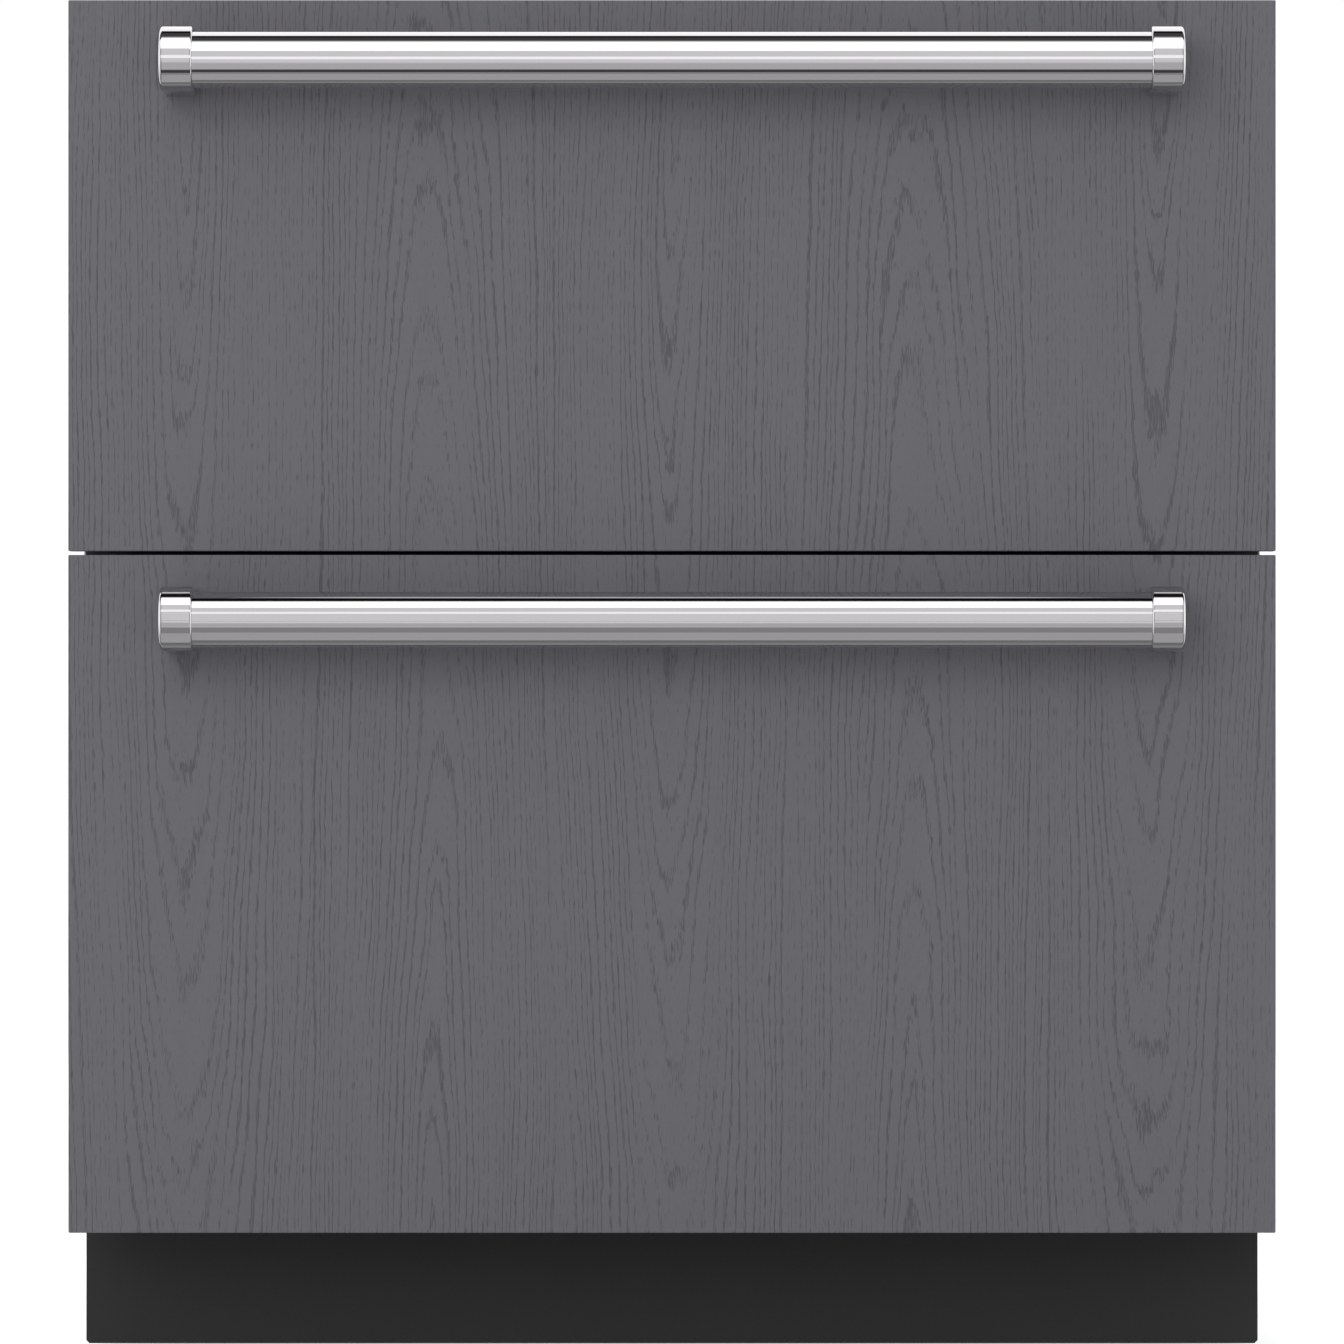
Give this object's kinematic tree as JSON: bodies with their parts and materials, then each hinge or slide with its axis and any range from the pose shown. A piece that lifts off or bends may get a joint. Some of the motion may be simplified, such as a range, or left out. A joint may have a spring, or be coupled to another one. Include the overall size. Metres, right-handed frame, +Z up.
{
  "type": "built-in freezer",
  "caption": "Panel-ready built-in freezer with stacked drawers on telescopic slides, grey timber fronts, polished tubular pulls and a recessed black kick plate.",
  "frame": {"origin": "centre of the whole unit's footprint, on the floor under the feet", "axes": "+Z up, the drawer fronts face -Y, +X to the right as seen from the front"},
  "size_m": [0.756, 0.6757, 0.8559],
  "materials": {
    "panel_wood": "embossed grey oak veneer, matt",
    "handle_chrome": "polished",
    "kick_black": "matt powder coat",
    "cabinet_steel": "satin pre-painted sheet",
    "galvanised_steel": "zinc coated sheet",
    "foam": "cut polyurethane foam",
    "liner_white": "satin moulded sheet",
    "bin_white": "satin moulded",
    "gasket_grey": "soft matt",
    "slide_steel": "zinc plated",
    "black_plastic": "fine texture",
    "grey_plastic": "fine texture",
    "control_black": "gloss",
    "button_silver": "satin",
    "light_lens": "frosted",
    "compressor_black": "gloss enamel",
    "black_rubber": "matt",
    "fin_aluminium": "bare sheet",
    "copper_line": "drawn copper",
    "foot_plastic": "moulded"
  },
  "bodies": {
    "cabinet": {"kick_plate": "kick_black", "cabinet_wrapper": "cabinet_steel", "face_frame": "cabinet_steel", "back_panel": "galvanised_steel", "floor_pan": "galvanised_steel", "base_rails": "galvanised_steel", "base_cross_member": "galvanised_steel", "machine_tray": "galvanised_steel", "rear_cover": "galvanised_steel", "counter_brackets": "galvanised_steel", "foam_body": "foam", "upper_liner": "liner_white", "lower_liner": "liner_white", "evaporator_cover": "liner_white", "air_duct": "liner_white", "upper_slide_outer": "slide_steel", "lower_slide_outer": "slide_steel", "fan_shroud": "black_plastic", "condenser_fan_motor": "black_plastic", "evaporator_fan_motor": "black_plastic", "power_inlet": "black_plastic", "control_box": "grey_plastic", "drain_pan": "grey_plastic", "control_panel": "control_black", "cabin_lights": "light_lens", "compressor": "compressor_black", "compressor_grommets": "black_rubber", "condenser_coil": "fin_aluminium", "evaporator_coil": "fin_aluminium", "refrigerant_lines": "copper_line"},
    "upper_drawer": {"upper_panel": "panel_wood", "upper_handle_bar": "handle_chrome", "upper_handle_posts": "handle_chrome", "upper_front_pan": "cabinet_steel", "upper_front_foam": "foam", "upper_front_liner": "liner_white", "upper_gasket": "gasket_grey", "upper_bin": "bin_white", "upper_slide_inner": "slide_steel"},
    "lower_drawer": {"lower_panel": "panel_wood", "lower_handle_bar": "handle_chrome", "lower_handle_posts": "handle_chrome", "lower_front_pan": "cabinet_steel", "lower_front_foam": "foam", "lower_front_liner": "liner_white", "lower_gasket": "gasket_grey", "lower_bin": "bin_white", "lower_slide_inner": "slide_steel"},
    "upper_slide_mid": {"upper_slide_mid": "slide_steel"},
    "lower_slide_mid": {"lower_slide_mid": "slide_steel"},
    "bin_divider": {"bin_divider": "bin_white"},
    "condenser_fan": {"condenser_fan": "black_plastic"},
    "evaporator_fan": {"evaporator_fan": "black_plastic"},
    "foot_front_left": {"foot_front_left": "foot_plastic"},
    "foot_front_right": {"foot_front_right": "foot_plastic"},
    "foot_rear_left": {"foot_rear_left": "foot_plastic"},
    "foot_rear_right": {"foot_rear_right": "foot_plastic"},
    "button_colder": {"button_colder": "button_silver"},
    "button_power": {"button_power": "button_silver"},
    "button_warmer": {"button_warmer": "button_silver"}
  },
  "joints": [
    {"name": "upper_drawer_slide", "type": "slide", "parent": "cabinet", "child": "upper_drawer", "axis": [0, -1, 0], "range_m": [0, 0.44]},
    {"name": "upper_slide_extend", "type": "slide", "parent": "cabinet", "child": "upper_slide_mid", "axis": [0, -1, 0], "range_m": [0, 0.22]},
    {"name": "lower_drawer_slide", "type": "slide", "parent": "cabinet", "child": "lower_drawer", "axis": [0, -1, 0], "range_m": [0, 0.44]},
    {"name": "lower_slide_extend", "type": "slide", "parent": "cabinet", "child": "lower_slide_mid", "axis": [0, -1, 0], "range_m": [0, 0.22]},
    {"name": "bin_divider_shift", "type": "slide", "parent": "upper_drawer", "child": "bin_divider", "axis": [1, 0, 0], "range_m": [-0.2, 0.2]},
    {"name": "condenser_fan_spin", "type": "hinge", "parent": "cabinet", "child": "condenser_fan", "pos_m": [0.195, 0.2649, 0.1165], "axis": [0, 1, 0], "continuous": true},
    {"name": "evaporator_fan_spin", "type": "hinge", "parent": "cabinet", "child": "evaporator_fan", "pos_m": [0.195, 0.2494, 0.397], "axis": [0, 1, 0], "continuous": true},
    {"name": "foot_front_left_screw", "type": "slide", "parent": "cabinet", "child": "foot_front_left", "axis": [0, 0, -1], "range_m": [0, 0.025]},
    {"name": "foot_front_right_screw", "type": "slide", "parent": "cabinet", "child": "foot_front_right", "axis": [0, 0, -1], "range_m": [0, 0.025]},
    {"name": "foot_rear_left_screw", "type": "slide", "parent": "cabinet", "child": "foot_rear_left", "axis": [0, 0, -1], "range_m": [0, 0.025]},
    {"name": "foot_rear_right_screw", "type": "slide", "parent": "cabinet", "child": "foot_rear_right", "axis": [0, 0, -1], "range_m": [0, 0.025]},
    {"name": "button_colder_press", "type": "slide", "parent": "cabinet", "child": "button_colder", "axis": [0, 1, 0], "range_m": [0, 0.001], "stiffness_N_per_m": 800},
    {"name": "button_power_press", "type": "slide", "parent": "cabinet", "child": "button_power", "axis": [0, 1, 0], "range_m": [0, 0.001], "stiffness_N_per_m": 800},
    {"name": "button_warmer_press", "type": "slide", "parent": "cabinet", "child": "button_warmer", "axis": [0, 1, 0], "range_m": [0, 0.001], "stiffness_N_per_m": 800}
  ],
  "couplings": [
    {"joint": "upper_slide_extend", "follows": "upper_drawer_slide", "ratio": 0.5},
    {"joint": "lower_slide_extend", "follows": "lower_drawer_slide", "ratio": 0.5}
  ]
}
